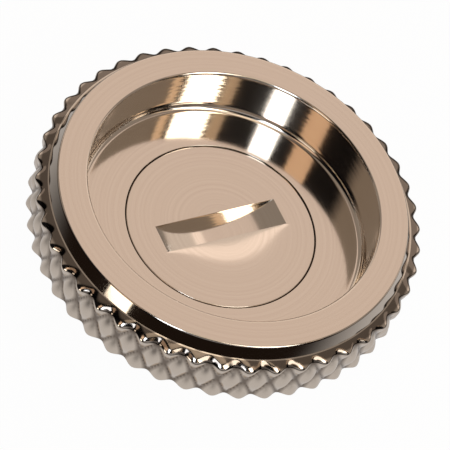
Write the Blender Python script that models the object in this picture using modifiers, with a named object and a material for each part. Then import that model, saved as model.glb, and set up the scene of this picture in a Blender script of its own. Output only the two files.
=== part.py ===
"""Deck fill cap for a boat: a knurled, dished cap with a captive coin-slot vent screw in its floor.

Frame: metres, +Z up out of the deck. The origin is the centre of the skirt's end, on the cap's axis.
Heights are written as drops below the flat top face, and height_of() turns a drop into a Z.
"""

import math

import bmesh
import bpy
from mathutils import Matrix, Vector

MM = 0.001

# Rim
KNURL_TIP_RADIUS = 30.6 * MM
KNURL_DEPTH = 1.0 * MM
KNURL_COUNT = 46
KNURL_ANGLE = math.radians(30.0)
KNURL_BAND_TOP = 1.96 * MM
KNURL_EDGE_MARGIN = 0.3 * MM
SHOULDER_INSET = 2.1 * MM
TOP_FACE_INSET = 3.05 * MM
RIM_HEIGHT = 11.3 * MM
RIM_FOOT_INSET = 0.6 * MM
RIM_FOOT_HEIGHT = 1.04 * MM

# Dish
DISH_RADIUS = 22.9 * MM
DISH_DEPTH = 8.75 * MM
DISH_CORNER_RADIUS = 1.4 * MM
DISH_CORNER_STEPS = 3
MOUTH_CHAMFER = 0.6 * MM

# Threaded skirt
SKIRT_WALL = 2.47 * MM
SKIRT_NOSE = 0.7 * MM
THREAD_CREST_RADIUS = 20.95 * MM
THREAD_PITCH = 2.309 * MM
THREAD_DEPTH = 1.48 * MM
THREAD_CREST_WIDTH = 0.45 * MM
THREAD_ROOT_WIDTH = 1.9 * MM
THREAD_END_CLEARANCE = 0.5 * MM
THREAD_RUN_OUT = math.radians(40.0)
THREAD_EMBED = 0.4 * MM

# Flat gasket under the rim
GASKET_THICKNESS = 1.6 * MM
GASKET_EDGE_INSET = 0.3 * MM
GASKET_BORE_CLEARANCE = 0.53 * MM

# Vent screw: slotted disc, shank and the groove for its stop clip
DISC_RADIUS = 15.1 * MM
DISC_THICKNESS = 5.6 * MM
DISC_EDGE = 0.15 * MM
SLOT_WIDTH = 4.8 * MM
SLOT_DEPTH = 2.3 * MM
SLOT_CUTTER_RADIUS = 25.0 * MM
SHANK_RADIUS = 4.0 * MM
SHANK_END_CHAMFER = 0.4 * MM
SHANK_END_LENGTH = 0.5 * MM
SHANK_END_INSET = 0.5 * MM
VENT_LIFT = 1.5 * MM

# Ring seal under the disc
SEAL_INSET = 2.8 * MM
SEAL_SECTION_RADIUS = 1.0 * MM

# Web, boss and vent holes
WEB_THICKNESS = 2.2 * MM
BORE_LENGTH = 4.35 * MM
POCKET_RADIUS = 6.3 * MM
BOSS_WALL = 1.6 * MM
BOSS_END_INSET = 0.8 * MM
SHOULDER_STEP = 0.9 * MM
SHOULDER_LENGTH = 0.9 * MM
VENT_HOLE_COUNT = 6
VENT_HOLE_RADIUS = 0.9 * MM
VENT_HOLE_INSET = 0.2 * MM

# Stop washer and stop clip on the shank
STOP_WASHER_THICKNESS = 0.6 * MM
STOP_CLIP_THICKNESS = 0.8 * MM
STOP_GROOVE_DEPTH = 0.8 * MM
STOP_CLIP_OPENING = 4.6 * MM

# Chain swivel on the boss
SWIVEL_WASHER_WIDTH = 2.4 * MM
SWIVEL_WASHER_THICKNESS = 0.6 * MM
SWIVEL_PLATE_WIDTH = 3.8 * MM
SWIVEL_PLATE_THICKNESS = 1.2 * MM
EYE_WIDTH = 6.0 * MM
EYE_CLEARANCE = 2.2 * MM
EYE_HOLE_RADIUS = 1.0 * MM
SWIVEL_CLIP_THICKNESS = 0.8 * MM
SWIVEL_GROOVE_DEPTH = 0.8 * MM
SWIVEL_CLIP_OVERHANG = 1.3 * MM
SWIVEL_CLIP_OPENING = 5.0 * MM

# Gaps
GAP = 0.3 * MM
CUT_MARGIN = 1.0 * MM

# Facets
CAP_STEPS = 2 * KNURL_COUNT
SMALL_STEPS = 48
SEAL_STEPS = 10
HOLE_STEPS = 12
MERGE = 0.000001

# Heights that follow from the sizes above, as drops below the top face
DISC_BOTTOM = DISH_DEPTH + DISC_THICKNESS
COUNTERBORE_FLOOR = DISC_BOTTOM + GAP
WEB_UNDERSIDE = COUNTERBORE_FLOOR + WEB_THICKNESS
POCKET_CEILING = COUNTERBORE_FLOOR + BORE_LENGTH
STOP_WASHER_TOP = POCKET_CEILING + VENT_LIFT + GAP
STOP_WASHER_BOTTOM = STOP_WASHER_TOP + STOP_WASHER_THICKNESS
STOP_CLIP_TOP = STOP_WASHER_BOTTOM + GAP
STOP_CLIP_BOTTOM = STOP_CLIP_TOP + STOP_CLIP_THICKNESS
STOP_GROOVE_BOTTOM = STOP_CLIP_BOTTOM + GAP
SHANK_END = STOP_GROOVE_BOTTOM + SHANK_END_LENGTH
TOTAL_HEIGHT = SHANK_END + SHANK_END_INSET
BOSS_END = TOTAL_HEIGHT - BOSS_END_INSET
SHOULDER_END = WEB_UNDERSIDE + SHOULDER_LENGTH
SWIVEL_WASHER_TOP = SHOULDER_END + GAP
SWIVEL_WASHER_BOTTOM = SWIVEL_WASHER_TOP + SWIVEL_WASHER_THICKNESS
SWIVEL_PLATE_TOP = SWIVEL_WASHER_BOTTOM + GAP
SWIVEL_PLATE_BOTTOM = SWIVEL_PLATE_TOP + SWIVEL_PLATE_THICKNESS
SWIVEL_CLIP_TOP = SWIVEL_PLATE_BOTTOM + GAP
SWIVEL_CLIP_BOTTOM = SWIVEL_CLIP_TOP + SWIVEL_CLIP_THICKNESS
KNURL_BAND_BOTTOM = RIM_HEIGHT - RIM_FOOT_HEIGHT
GASKET_TOP = RIM_HEIGHT + GAP
GASKET_BOTTOM = GASKET_TOP + GASKET_THICKNESS
THREAD_TOP = GASKET_BOTTOM + THREAD_END_CLEARANCE
THREAD_ROOM = TOTAL_HEIGHT - SKIRT_NOSE - THREAD_END_CLEARANCE - THREAD_ROOT_WIDTH - THREAD_TOP
THREAD_TURNS = int(THREAD_ROOM / THREAD_PITCH)

# Radii that follow from the sizes above
KNURL_ROOT_RADIUS = KNURL_TIP_RADIUS - KNURL_DEPTH
SHOULDER_RADIUS = KNURL_TIP_RADIUS - SHOULDER_INSET
TOP_FACE_RADIUS = KNURL_TIP_RADIUS - TOP_FACE_INSET
RIM_FOOT_RADIUS = SHOULDER_RADIUS - RIM_FOOT_INSET
THREAD_ROOT_RADIUS = THREAD_CREST_RADIUS - THREAD_DEPTH
SKIRT_BORE_RADIUS = THREAD_ROOT_RADIUS - SKIRT_WALL
GASKET_OUTER_RADIUS = RIM_FOOT_RADIUS - GASKET_EDGE_INSET
GASKET_BORE_RADIUS = THREAD_ROOT_RADIUS + GASKET_BORE_CLEARANCE
COUNTERBORE_RADIUS = DISC_RADIUS + GAP
SEAL_RADIUS = DISC_RADIUS - SEAL_INSET
SHANK_BORE_RADIUS = SHANK_RADIUS + GAP
STOP_RADIUS = POCKET_RADIUS - GAP
BOSS_RADIUS = POCKET_RADIUS + BOSS_WALL
SHOULDER_STEP_RADIUS = BOSS_RADIUS + SHOULDER_STEP
VENT_HOLE_CIRCLE = SHOULDER_STEP_RADIUS + VENT_HOLE_INSET + VENT_HOLE_RADIUS
SWIVEL_BORE_RADIUS = BOSS_RADIUS + GAP
SWIVEL_WASHER_RADIUS = SWIVEL_BORE_RADIUS + SWIVEL_WASHER_WIDTH
SWIVEL_PLATE_RADIUS = SWIVEL_BORE_RADIUS + SWIVEL_PLATE_WIDTH
EYE_REACH = SKIRT_BORE_RADIUS - EYE_CLEARANCE

# Colour, roughness and metallic value of each material
FINISHES = {
    "plated_brass": ((0.66, 0.60, 0.54), 0.18, 1.0),
    "plated_disc": ((0.68, 0.60, 0.52), 0.22, 1.0),
    "gasket_rubber": ((0.03, 0.03, 0.03), 0.75, 0.0),
    "seal_rubber": ((0.02, 0.02, 0.02), 0.60, 0.0),
    "nylon": ((0.80, 0.78, 0.72), 0.45, 0.0),
    "spring_steel": ((0.45, 0.44, 0.43), 0.30, 1.0),
    "sheet_steel": ((0.60, 0.59, 0.58), 0.28, 1.0),
}


def height_of(drop):
    """The Z of a point that lies this far below the top face."""
    return TOTAL_HEIGHT - drop


def clear_scene():
    for obj in list(bpy.data.objects):
        bpy.data.objects.remove(obj, do_unlink=True)


def make_collection(name, hidden=False):
    collection = bpy.data.collections.new(name)
    bpy.context.scene.collection.children.link(collection)
    collection.hide_render = hidden
    return collection


def make_material(name):
    colour, roughness, metallic = FINISHES[name]
    material = bpy.data.materials.new(name)
    material.use_nodes = True
    shader = material.node_tree.nodes["Principled BSDF"]
    shader.inputs["Base Color"].default_value = (*colour, 1.0)
    shader.inputs["Roughness"].default_value = roughness
    shader.inputs["Metallic"].default_value = metallic
    return material


def add_object(name, mesh, collection):
    obj = bpy.data.objects.new(name, mesh)
    collection.objects.link(obj)
    return obj


def turned(name, profile, collection, steps=SMALL_STEPS, closed=True):
    """A turned shape from (radius, drop) points that run down its outer side, top to bottom."""
    mesh = bpy.data.meshes.new(name)
    points = [(radius, 0.0, height_of(drop)) for radius, drop in profile]
    edges = [(i, i + 1) for i in range(len(points) - 1)]
    if closed:
        edges.append((len(points) - 1, 0))
    mesh.from_pydata(points, edges, [])
    obj = add_object(name, mesh, collection)
    screw = obj.modifiers.new("turn", "SCREW")
    screw.steps = steps
    screw.render_steps = steps
    screw.use_merge_vertices = True
    screw.merge_threshold = MERGE
    screw.use_smooth_shade = True
    return obj


def bake(obj):
    """Replaces the object's mesh by what its modifiers make of it."""
    graph = bpy.context.evaluated_depsgraph_get()
    baked = bpy.data.meshes.new_from_object(obj.evaluated_get(graph))
    obj.modifiers.clear()
    obj.data = baked
    return obj


def cylinder(name, radius, depth, centre, collection, axis="Z", steps=HOLE_STEPS):
    """A plain round cutter or blank along one of the main axes."""
    mesh = bpy.data.meshes.new(name)
    bm = bmesh.new()
    bmesh.ops.create_cone(bm, cap_ends=True, segments=steps, radius1=radius, radius2=radius, depth=depth)
    if axis == "X":
        bmesh.ops.rotate(bm, verts=bm.verts, matrix=Matrix.Rotation(math.pi / 2, 3, "Y"))
    if axis == "Y":
        bmesh.ops.rotate(bm, verts=bm.verts, matrix=Matrix.Rotation(math.pi / 2, 3, "X"))
    bmesh.ops.translate(bm, verts=bm.verts, vec=Vector(centre))
    bm.to_mesh(mesh)
    bm.free()
    return add_object(name, mesh, collection)


def box(name, low, high, collection):
    """A box between two corners."""
    mesh = bpy.data.meshes.new(name)
    bm = bmesh.new()
    bmesh.ops.create_cube(bm, size=1.0)
    size = Vector(high) - Vector(low)
    middle = (Vector(high) + Vector(low)) / 2
    bmesh.ops.scale(bm, verts=bm.verts, vec=size)
    bmesh.ops.translate(bm, verts=bm.verts, vec=middle)
    bm.to_mesh(mesh)
    bm.free()
    return add_object(name, mesh, collection)


def combine(obj, other, operation):
    """Adds an exact Boolean and marks the other object as a helper."""
    modifier = obj.modifiers.new(other.name, "BOOLEAN")
    modifier.operation = operation
    modifier.solver = "EXACT"
    modifier.object = other
    other.hide_render = True
    other.display_type = "WIRE"


def set_origin(obj, drop):
    """Puts the object's origin on the cap's axis, at this drop, and leaves its shape in place."""
    point = Vector((0.0, 0.0, height_of(drop)))
    obj.data.transform(Matrix.Translation(-point))
    obj.location = point


def knurl_row_drops():
    """Drops of the rows of knurl tips, spaced by the knurl's angle and centred in its band."""
    half_pitch = math.pi * KNURL_TIP_RADIUS / KNURL_COUNT
    spacing = half_pitch / math.tan(KNURL_ANGLE)
    room = KNURL_BAND_BOTTOM - KNURL_BAND_TOP - 2 * KNURL_EDGE_MARGIN
    rows = 1 + int(room / spacing)
    middle = (KNURL_BAND_TOP + KNURL_BAND_BOTTOM) / 2
    first = middle - spacing * (rows - 1) / 2
    return [first + spacing * row for row in range(rows)]


def dish_corner():
    """Points of the rounded corner between the dish's floor and its wall, from floor to wall."""
    points = []
    for step in range(DISH_CORNER_STEPS + 1):
        angle = math.pi / 2 * step / DISH_CORNER_STEPS
        radius = DISH_RADIUS - DISH_CORNER_RADIUS * (1 - math.sin(angle))
        drop = DISH_DEPTH - DISH_CORNER_RADIUS * (1 - math.cos(angle))
        points.append((radius, drop))
    return points


def cap_profile():
    groove_radius = BOSS_RADIUS - SWIVEL_GROOVE_DEPTH
    rim = [
        (TOP_FACE_RADIUS, 0.0),
        (SHOULDER_RADIUS, KNURL_BAND_TOP),
        *[(KNURL_ROOT_RADIUS, drop) for drop in knurl_row_drops()],
        (SHOULDER_RADIUS, KNURL_BAND_BOTTOM),
        (RIM_FOOT_RADIUS, RIM_HEIGHT),
    ]
    skirt = [
        (THREAD_ROOT_RADIUS, RIM_HEIGHT),
        (THREAD_ROOT_RADIUS, TOTAL_HEIGHT - SKIRT_NOSE),
        (THREAD_ROOT_RADIUS - SKIRT_NOSE, TOTAL_HEIGHT),
        (SKIRT_BORE_RADIUS, TOTAL_HEIGHT),
        (SKIRT_BORE_RADIUS, WEB_UNDERSIDE),
    ]
    boss = [
        (SHOULDER_STEP_RADIUS, WEB_UNDERSIDE),
        (SHOULDER_STEP_RADIUS, SHOULDER_END),
        (BOSS_RADIUS, SHOULDER_END),
        (BOSS_RADIUS, SWIVEL_CLIP_TOP - GAP),
        (groove_radius, SWIVEL_CLIP_TOP - GAP),
        (groove_radius, SWIVEL_CLIP_BOTTOM + GAP),
        (BOSS_RADIUS, SWIVEL_CLIP_BOTTOM + GAP),
        (BOSS_RADIUS, BOSS_END),
        (POCKET_RADIUS, BOSS_END),
        (POCKET_RADIUS, POCKET_CEILING),
        (SHANK_BORE_RADIUS, POCKET_CEILING),
        (SHANK_BORE_RADIUS, COUNTERBORE_FLOOR),
    ]
    dish = [
        (COUNTERBORE_RADIUS, COUNTERBORE_FLOOR),
        (COUNTERBORE_RADIUS, DISH_DEPTH),
        *dish_corner(),
        (DISH_RADIUS, MOUTH_CHAMFER),
        (DISH_RADIUS + MOUTH_CHAMFER, 0.0),
    ]
    return rim + skirt + boss + dish


def raise_knurl(mesh):
    """Lifts every other point of each knurl row to the tip radius, and folds the faces along the grooves."""
    rows = [height_of(drop) for drop in knurl_row_drops()]
    band_top = height_of(KNURL_BAND_TOP)
    band_bottom = height_of(KNURL_BAND_BOTTOM)
    outside = (KNURL_ROOT_RADIUS + DISH_RADIUS) / 2
    bm = bmesh.new()
    bm.from_mesh(mesh)
    tips = set()
    for vertex in bm.verts:
        radius = math.hypot(vertex.co.x, vertex.co.y)
        row = min(range(len(rows)), key=lambda i: abs(rows[i] - vertex.co.z))
        if radius < outside or abs(rows[row] - vertex.co.z) > MERGE:
            continue
        step = round(math.atan2(vertex.co.y, vertex.co.x) / (2 * math.pi) * CAP_STEPS)
        if (step + row) % 2 == 0:
            vertex.co.x *= KNURL_TIP_RADIUS / radius
            vertex.co.y *= KNURL_TIP_RADIUS / radius
            tips.add(vertex)
    band_faces = []
    for face in bm.faces:
        on_rim = all(math.hypot(v.co.x, v.co.y) > outside for v in face.verts)
        in_band = all(band_bottom - MERGE < v.co.z < band_top + MERGE for v in face.verts)
        if on_rim and in_band:
            band_faces.append(face)
    for face in band_faces:
        low = [v for v in face.verts if v not in tips]
        if len(low) == 3:
            tip = next(v for v in face.verts if v in tips)
            beside = {e.other_vert(tip) for e in tip.link_edges}
            low = [v for v in low if v in beside]
        bmesh.utils.face_split(face, low[0], low[1])
    bm.to_mesh(mesh)
    bm.free()


def make_thread(helpers):
    """A right-hand ridge that winds up the skirt, sunk a little into it, with ends that run out."""
    mesh = bpy.data.meshes.new("thread_ridge")
    inner = THREAD_ROOT_RADIUS - THREAD_EMBED
    bottom = height_of(THREAD_TOP) - THREAD_PITCH * THREAD_TURNS - THREAD_ROOT_WIDTH
    middle = bottom + THREAD_ROOT_WIDTH / 2
    points = [
        (inner, 0.0, bottom + THREAD_ROOT_WIDTH),
        (THREAD_CREST_RADIUS, 0.0, middle + THREAD_CREST_WIDTH / 2),
        (THREAD_CREST_RADIUS, 0.0, middle - THREAD_CREST_WIDTH / 2),
        (inner, 0.0, bottom),
    ]
    mesh.from_pydata(points, [(0, 1), (1, 2), (2, 3), (3, 0)], [])
    ridge = add_object("thread_ridge", mesh, helpers)
    screw = ridge.modifiers.new("wind", "SCREW")
    screw.steps = SMALL_STEPS
    screw.render_steps = SMALL_STEPS
    screw.screw_offset = THREAD_PITCH
    screw.iterations = THREAD_TURNS
    screw.use_merge_vertices = False
    bake(ridge)

    bm = bmesh.new()
    bm.from_mesh(ridge.data)
    bmesh.ops.holes_fill(bm, edges=[e for e in bm.edges if e.is_boundary])
    last_step = SMALL_STEPS * THREAD_TURNS
    run_out_steps = THREAD_RUN_OUT / (2 * math.pi) * SMALL_STEPS
    sunk = THREAD_ROOT_RADIUS - THREAD_EMBED / 2
    bm.verts.ensure_lookup_table()
    for vertex in bm.verts:
        radius = math.hypot(vertex.co.x, vertex.co.y)
        if radius < THREAD_ROOT_RADIUS:
            continue
        step = vertex.index // len(points)
        share = min(1.0, min(step, last_step - step) / run_out_steps)
        scale = (sunk + (radius - sunk) * share) / radius
        vertex.co.x *= scale
        vertex.co.y *= scale
    bmesh.ops.recalc_face_normals(bm, faces=bm.faces)
    bm.to_mesh(ridge.data)
    bm.free()
    return ridge


def make_vent_holes(helpers):
    """One cutter that holds the ring of vent holes through the web."""
    mesh = bpy.data.meshes.new("vent_holes")
    bm = bmesh.new()
    for index in range(VENT_HOLE_COUNT):
        angle = 2 * math.pi * (index + 0.5) / VENT_HOLE_COUNT
        place = Matrix.Rotation(angle, 4, "Z") @ Matrix.Translation(
            (VENT_HOLE_CIRCLE, 0.0, height_of((COUNTERBORE_FLOOR + WEB_UNDERSIDE) / 2))
        )
        bmesh.ops.create_cone(
            bm,
            cap_ends=True,
            segments=HOLE_STEPS,
            radius1=VENT_HOLE_RADIUS,
            radius2=VENT_HOLE_RADIUS,
            depth=WEB_THICKNESS + CUT_MARGIN,
            matrix=place,
        )
    bm.to_mesh(mesh)
    bm.free()
    return add_object("vent_holes", mesh, helpers)


def make_cap_body(parts, helpers):
    cap = turned("cap_body", cap_profile(), parts, steps=CAP_STEPS)
    bake(cap)
    raise_knurl(cap.data)
    combine(cap, make_vent_holes(helpers), "DIFFERENCE")
    combine(cap, make_thread(helpers), "UNION")
    return cap


def make_seat_gasket(parts):
    profile = [
        (GASKET_OUTER_RADIUS, GASKET_TOP),
        (GASKET_OUTER_RADIUS, GASKET_BOTTOM),
        (GASKET_BORE_RADIUS, GASKET_BOTTOM),
        (GASKET_BORE_RADIUS, GASKET_TOP),
    ]
    return turned("seat_gasket", profile, parts)


def make_vent_screw(parts, helpers):
    groove_inner = SEAL_RADIUS - SEAL_SECTION_RADIUS - GAP
    groove_outer = SEAL_RADIUS + SEAL_SECTION_RADIUS + GAP
    groove_ceiling = DISC_BOTTOM - 2 * SEAL_SECTION_RADIUS - GAP
    clip_groove_radius = SHANK_RADIUS - STOP_GROOVE_DEPTH
    profile = [
        (0.0, DISH_DEPTH),
        (DISC_RADIUS - DISC_EDGE, DISH_DEPTH),
        (DISC_RADIUS, DISH_DEPTH + DISC_EDGE),
        (DISC_RADIUS, DISC_BOTTOM),
        (groove_outer, DISC_BOTTOM),
        (groove_outer, groove_ceiling),
        (groove_inner, groove_ceiling),
        (groove_inner, DISC_BOTTOM),
        (SHANK_RADIUS, DISC_BOTTOM),
        (SHANK_RADIUS, STOP_CLIP_TOP - GAP),
        (clip_groove_radius, STOP_CLIP_TOP - GAP),
        (clip_groove_radius, STOP_GROOVE_BOTTOM),
        (SHANK_RADIUS, STOP_GROOVE_BOTTOM),
        (SHANK_RADIUS, SHANK_END - SHANK_END_CHAMFER),
        (SHANK_RADIUS - SHANK_END_CHAMFER, SHANK_END),
        (0.0, SHANK_END),
    ]
    screw = turned("vent_screw", profile, parts, closed=False)
    cutter_centre = (0.0, 0.0, height_of(DISH_DEPTH + SLOT_DEPTH) + SLOT_CUTTER_RADIUS)
    cutter = cylinder(
        "slot_cutter", SLOT_CUTTER_RADIUS, SLOT_WIDTH, cutter_centre, helpers, axis="Y", steps=SMALL_STEPS
    )
    combine(screw, cutter, "DIFFERENCE")
    return screw


def make_vent_seal(parts):
    centre_drop = DISC_BOTTOM - SEAL_SECTION_RADIUS
    profile = []
    for step in range(SEAL_STEPS):
        angle = 2 * math.pi * step / SEAL_STEPS
        radius = SEAL_RADIUS + SEAL_SECTION_RADIUS * math.cos(angle)
        profile.append((radius, centre_drop + SEAL_SECTION_RADIUS * math.sin(angle)))
    return turned("vent_seal", profile, parts)


def make_washer(name, bore, outer, top, thickness, parts):
    profile = [(outer, top), (outer, top + thickness), (bore, top + thickness), (bore, top)]
    return turned(name, profile, parts)


def make_clip(name, bore, outer, top, thickness, opening, parts, helpers):
    """A flat ring that is open towards -Y, so that it can be pushed or sprung into its groove."""
    clip = make_washer(name, bore, outer, top, thickness, parts)
    low = (-opening / 2, -outer - CUT_MARGIN, height_of(top + thickness + CUT_MARGIN))
    high = (opening / 2, 0.0, height_of(top - CUT_MARGIN))
    combine(clip, box(f"{name}_opening", low, high, helpers), "DIFFERENCE")
    return clip


def make_swivel_plate(parts, helpers):
    """A flat ring round the boss with a tongue that is bent down and pierced for the chain."""
    plate = make_washer(
        "swivel_plate", SWIVEL_BORE_RADIUS, SWIVEL_PLATE_RADIUS, SWIVEL_PLATE_TOP, SWIVEL_PLATE_THICKNESS, parts
    )
    half = EYE_WIDTH / 2
    tongue_start = SWIVEL_BORE_RADIUS + SWIVEL_PLATE_WIDTH / 2
    sink = SWIVEL_PLATE_THICKNESS / 6
    tongue = box(
        "eye_tongue",
        (tongue_start, -half, height_of(SWIVEL_PLATE_BOTTOM - sink)),
        (EYE_REACH, half, height_of(SWIVEL_PLATE_TOP + sink)),
        helpers,
    )
    eye = box(
        "eye_leg",
        (EYE_REACH - SWIVEL_PLATE_THICKNESS, -half - sink, height_of(SHANK_END)),
        (EYE_REACH + sink, half + sink, height_of(SWIVEL_PLATE_TOP)),
        helpers,
    )
    eye_middle = (SWIVEL_PLATE_BOTTOM + SHANK_END) / 2
    hole = cylinder(
        "eye_hole",
        EYE_HOLE_RADIUS,
        SWIVEL_PLATE_THICKNESS + 2 * CUT_MARGIN,
        (EYE_REACH - SWIVEL_PLATE_THICKNESS / 2, 0.0, height_of(eye_middle)),
        helpers,
        axis="X",
    )
    combine(plate, tongue, "UNION")
    combine(plate, eye, "UNION")
    combine(plate, hole, "DIFFERENCE")
    return plate


def finish(obj, material):
    obj.data.materials.clear()
    obj.data.materials.append(material)


def main():
    clear_scene()
    parts = make_collection("deck_fill_cap")
    helpers = make_collection("cutters", hidden=True)
    materials = {name: make_material(name) for name in FINISHES}

    cap = make_cap_body(parts, helpers)
    gasket = make_seat_gasket(parts)
    screw = make_vent_screw(parts, helpers)
    seal = make_vent_seal(parts)
    stop_washer = make_washer(
        "stop_washer", SHANK_BORE_RADIUS, STOP_RADIUS, STOP_WASHER_TOP, STOP_WASHER_THICKNESS, parts
    )
    stop_clip = make_clip(
        "stop_clip",
        SHANK_RADIUS - STOP_GROOVE_DEPTH + GAP,
        STOP_RADIUS,
        STOP_CLIP_TOP,
        STOP_CLIP_THICKNESS,
        STOP_CLIP_OPENING,
        parts,
        helpers,
    )
    swivel_washer = make_washer(
        "swivel_washer",
        SWIVEL_BORE_RADIUS,
        SWIVEL_WASHER_RADIUS,
        SWIVEL_WASHER_TOP,
        SWIVEL_WASHER_THICKNESS,
        parts,
    )
    swivel_plate = make_swivel_plate(parts, helpers)
    swivel_clip = make_clip(
        "swivel_clip",
        BOSS_RADIUS - SWIVEL_GROOVE_DEPTH + GAP,
        BOSS_RADIUS + SWIVEL_CLIP_OVERHANG,
        SWIVEL_CLIP_TOP,
        SWIVEL_CLIP_THICKNESS,
        SWIVEL_CLIP_OPENING,
        parts,
        helpers,
    )

    finish(cap, materials["plated_brass"])
    finish(screw, materials["plated_disc"])
    finish(gasket, materials["gasket_rubber"])
    finish(seal, materials["seal_rubber"])
    finish(stop_washer, materials["spring_steel"])
    finish(stop_clip, materials["spring_steel"])
    finish(swivel_washer, materials["nylon"])
    finish(swivel_plate, materials["sheet_steel"])
    finish(swivel_clip, materials["spring_steel"])

    set_origin(screw, DISH_DEPTH)
    set_origin(seal, DISC_BOTTOM)
    set_origin(stop_washer, STOP_WASHER_TOP)
    set_origin(stop_clip, STOP_CLIP_TOP)
    set_origin(swivel_plate, SWIVEL_PLATE_TOP)


main()
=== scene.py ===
"""Deck fill cap: the finished looks of a knurled, dished cap with a slotted vent screw in its floor.

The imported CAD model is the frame. Each sub-assembly below is a class that makes its pieces at the
frame's size, dresses them in their finish and lets them ride on their body. Sizes are in millimetres
until a mesh is made, and heights are written as drops below the cap's flat top face.
"""

import logging
import math
from collections.abc import Iterator, Sequence
from contextlib import contextmanager
from dataclasses import dataclass, field
from enum import Enum

import bmesh
import bpy
import numpy as np
from bpy.types import Material, Mesh, Node, NodeSocket, NodeTree, Object
from mathutils import Matrix, Vector


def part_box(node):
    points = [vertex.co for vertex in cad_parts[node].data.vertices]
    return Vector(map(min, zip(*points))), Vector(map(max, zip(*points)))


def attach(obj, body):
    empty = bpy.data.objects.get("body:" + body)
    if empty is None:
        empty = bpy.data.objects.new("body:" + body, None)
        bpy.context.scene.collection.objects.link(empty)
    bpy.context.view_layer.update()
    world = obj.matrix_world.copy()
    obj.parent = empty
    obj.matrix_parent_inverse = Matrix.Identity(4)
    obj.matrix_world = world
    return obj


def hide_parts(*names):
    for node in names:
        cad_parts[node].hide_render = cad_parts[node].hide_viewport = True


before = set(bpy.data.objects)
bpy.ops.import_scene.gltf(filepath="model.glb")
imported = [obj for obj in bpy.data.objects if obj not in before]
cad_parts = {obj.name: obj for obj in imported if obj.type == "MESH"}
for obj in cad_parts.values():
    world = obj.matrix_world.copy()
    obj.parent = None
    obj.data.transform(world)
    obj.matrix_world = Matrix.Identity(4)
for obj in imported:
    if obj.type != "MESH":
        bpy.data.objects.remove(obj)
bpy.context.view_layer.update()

LOG = logging.getLogger("deck_fill_cap")
MM = 0.001
CAP_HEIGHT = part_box("cap_body")[1][2] / MM
TURN = 2 * math.pi
SHARP = math.radians(32)
OVERSHOOT = 1.0


class Body(Enum):
    """The moving groups of the frame."""

    CAP = "cap"
    SEAL = "seal_carrier"
    VENT = "vent"
    SWIVEL = "swivel"


class Slot(Enum):
    """The record's material slots."""

    BODY = "plated_brass"
    DISC = "plated_disc"
    GASKET = "gasket_rubber"
    SEAL = "seal_rubber"
    SPRING = "spring_steel"
    SHEET = "sheet_steel"
    NYLON = "nylon"


# ---------------------------------------------------------------- colour and nodes


def linear(hex_colour: str) -> tuple[float, float, float, float]:
    """Turns an sRGB hex colour into linear values.

    Args:
        hex_colour: Six hex digits after a hash sign.

    Returns:
        Linear red, green and blue, and an alpha of 1.
    """
    channels = [int(hex_colour[start : start + 2], 16) / 255 for start in (1, 3, 5)]
    light = [c / 12.92 if c <= 0.04045 else ((c + 0.055) / 1.055) ** 2.4 for c in channels]
    return (light[0], light[1], light[2], 1.0)


def add_node(
    tree: NodeTree, kind: str, settings: dict[str | int, object], links: dict[str | int, object]
) -> Node:
    """Adds one node with its settings and links.

    Args:
        tree: The tree that gets the node.
        kind: The node's type name, without the prefix that every shader node has.
        settings: Values by socket name, socket number or property name.
        links: Outputs by the name or number of the socket that they feed. A node gives its first output.

    Returns:
        The new node.
    """
    node = tree.nodes.new(f"ShaderNode{kind}")
    for key, value in settings.items():
        if isinstance(key, int) or key in node.inputs:
            node.inputs[key].default_value = value
        else:
            setattr(node, key, value)
    for key, source in links.items():
        output = source.outputs[0] if isinstance(source, Node) else source
        tree.links.new(output, node.inputs[key])
    return node


def new_material(name: str) -> tuple[Material, NodeTree]:
    """Makes an empty node material and returns it with its tree."""
    material = bpy.data.materials.new(name)
    material.use_nodes = True
    material.node_tree.nodes.clear()
    return material, material.node_tree


def close_material(tree: NodeTree, shader: Node) -> None:
    """Feeds a shader to the material's output."""
    add_node(tree, "OutputMaterial", {}, {"Surface": shader})


# ---------------------------------------------------------------- finishes


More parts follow.
